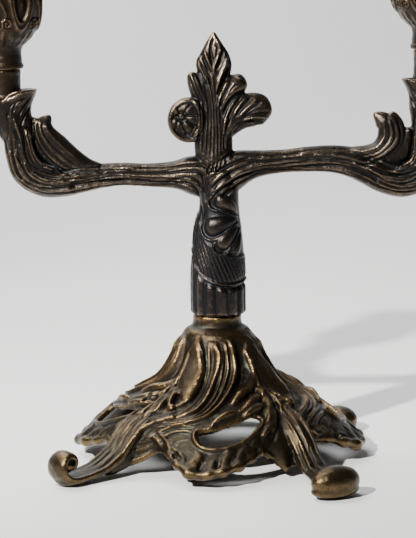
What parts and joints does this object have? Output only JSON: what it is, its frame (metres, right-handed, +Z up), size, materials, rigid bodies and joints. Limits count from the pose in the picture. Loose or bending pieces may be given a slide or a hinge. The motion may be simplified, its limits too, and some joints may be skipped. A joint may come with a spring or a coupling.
{
  "type": "tabletop candelabra",
  "caption": "Cast brass tabletop candelabra: bell base on scroll feet, fluted stem, leafy curved arms, bulb cups and lift-out candle nozzles.",
  "frame": {"origin": "on the table, on the axis of the stem", "axes": "+Z up the stem, +X along the arms towards the longer, higher one, -Y towards the viewer"},
  "size_m": [0.2384, 0.1781, 0.2386],
  "materials": {
    "base_brass": "aged cast brass, dark in the hollows and rubbed bright on the ridges",
    "branch_bronze": "dark patinated cast brass with rubbed silvery ridges",
    "cup_brass": "aged brown brass",
    "steel": "plain steel fastening"
  },
  "bodies": {
    "candelabra": {"base_casting": "base_brass", "branch_casting": "branch_bronze", "tie_rod": "steel", "tie_washer": "steel", "tie_nut": "steel", "cup_post_left": "cup_brass", "cup_post_right": "cup_brass", "cup_stud_left": "steel", "cup_stud_right": "steel", "candle_cup_left": "cup_brass", "candle_cup_right": "cup_brass", "cup_nut_left": "steel", "cup_nut_right": "steel"},
    "nozzle_left": {"nozzle_left": "cup_brass"},
    "nozzle_right": {"nozzle_right": "cup_brass"}
  },
  "joints": [
    {"name": "nozzle_left_lift", "type": "slide", "parent": "candelabra", "child": "nozzle_left", "axis": [0, 0, 1], "range_m": [0, 0.03]},
    {"name": "nozzle_right_lift", "type": "slide", "parent": "candelabra", "child": "nozzle_right", "axis": [0, 0, 1], "range_m": [0, 0.03]}
  ]
}
